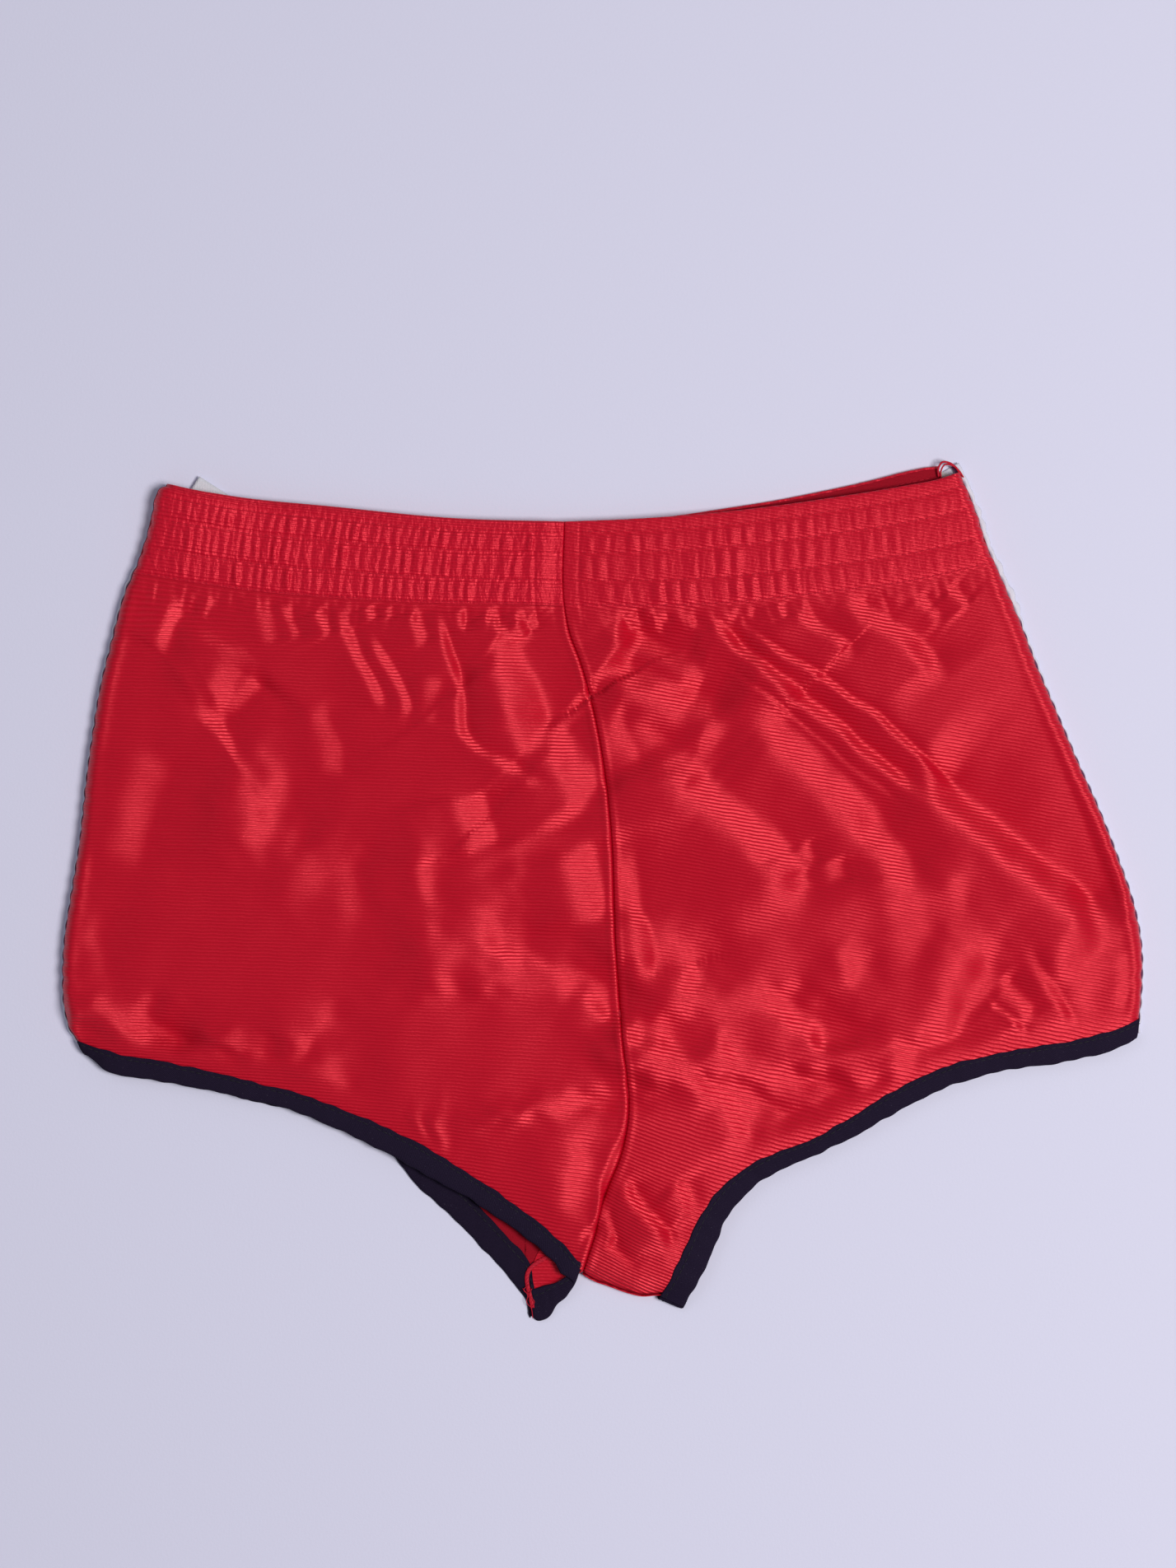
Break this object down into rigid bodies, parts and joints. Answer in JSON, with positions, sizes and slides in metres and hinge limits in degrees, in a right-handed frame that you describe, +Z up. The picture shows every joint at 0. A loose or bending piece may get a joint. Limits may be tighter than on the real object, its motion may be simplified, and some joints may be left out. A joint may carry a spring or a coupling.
{
  "type": "boxing shorts",
  "caption": "Short satin boxing shorts laid flat, with a shirred elastic waist, narrow side stripes and bound leg openings.",
  "frame": {"origin": "bottom centre of the bounding box of the garment as it lies on its back", "axes": "+Z up from the surface it lies on, +Y towards the waist, +X towards the wearer's left side"},
  "size_m": [0.4472, 0.353, 0.012],
  "materials": {
    "satin": "ribbed polyester satin, red",
    "stripe": "white tricot",
    "elastic": "woven elastic, natural",
    "binding": "black twill tape",
    "red_thread": "spun polyester thread, red",
    "dark_thread": "spun polyester thread, black",
    "label": "plain white ribbon",
    "white_thread": "spun polyester thread, white"
  },
  "bodies": {
    "garment": {"front_right_panel": "satin", "front_left_panel": "satin", "back_right_panel": "satin", "back_left_panel": "satin", "right_side_stripe": "stripe", "left_side_stripe": "stripe", "waist_elastic": "elastic", "waist_stitch_row_1": "red_thread", "waist_stitch_row_2": "red_thread", "waist_stitch_row_3": "red_thread", "waist_stitch_row_4": "red_thread", "right_leg_binding": "binding", "right_binding_stitching": "dark_thread", "left_leg_binding": "binding", "left_binding_stitching": "dark_thread", "centre_front_overlock": "red_thread", "centre_back_overlock": "red_thread", "right_inseam_overlock": "red_thread", "left_inseam_overlock": "red_thread", "right_front_side_overlock": "red_thread", "left_front_side_overlock": "red_thread", "right_back_side_overlock": "red_thread", "left_back_side_overlock": "red_thread", "care_label_stitching": "white_thread"},
    "label": {"care_label": "label"}
  },
  "joints": [
    {"name": "care_label_flap", "type": "hinge", "parent": "garment", "child": "label", "pos_m": [-0.1394, 0.1419, 0.0026], "axis": [0.5402, 0.8415, 0], "range_deg": [0, 8]}
  ]
}
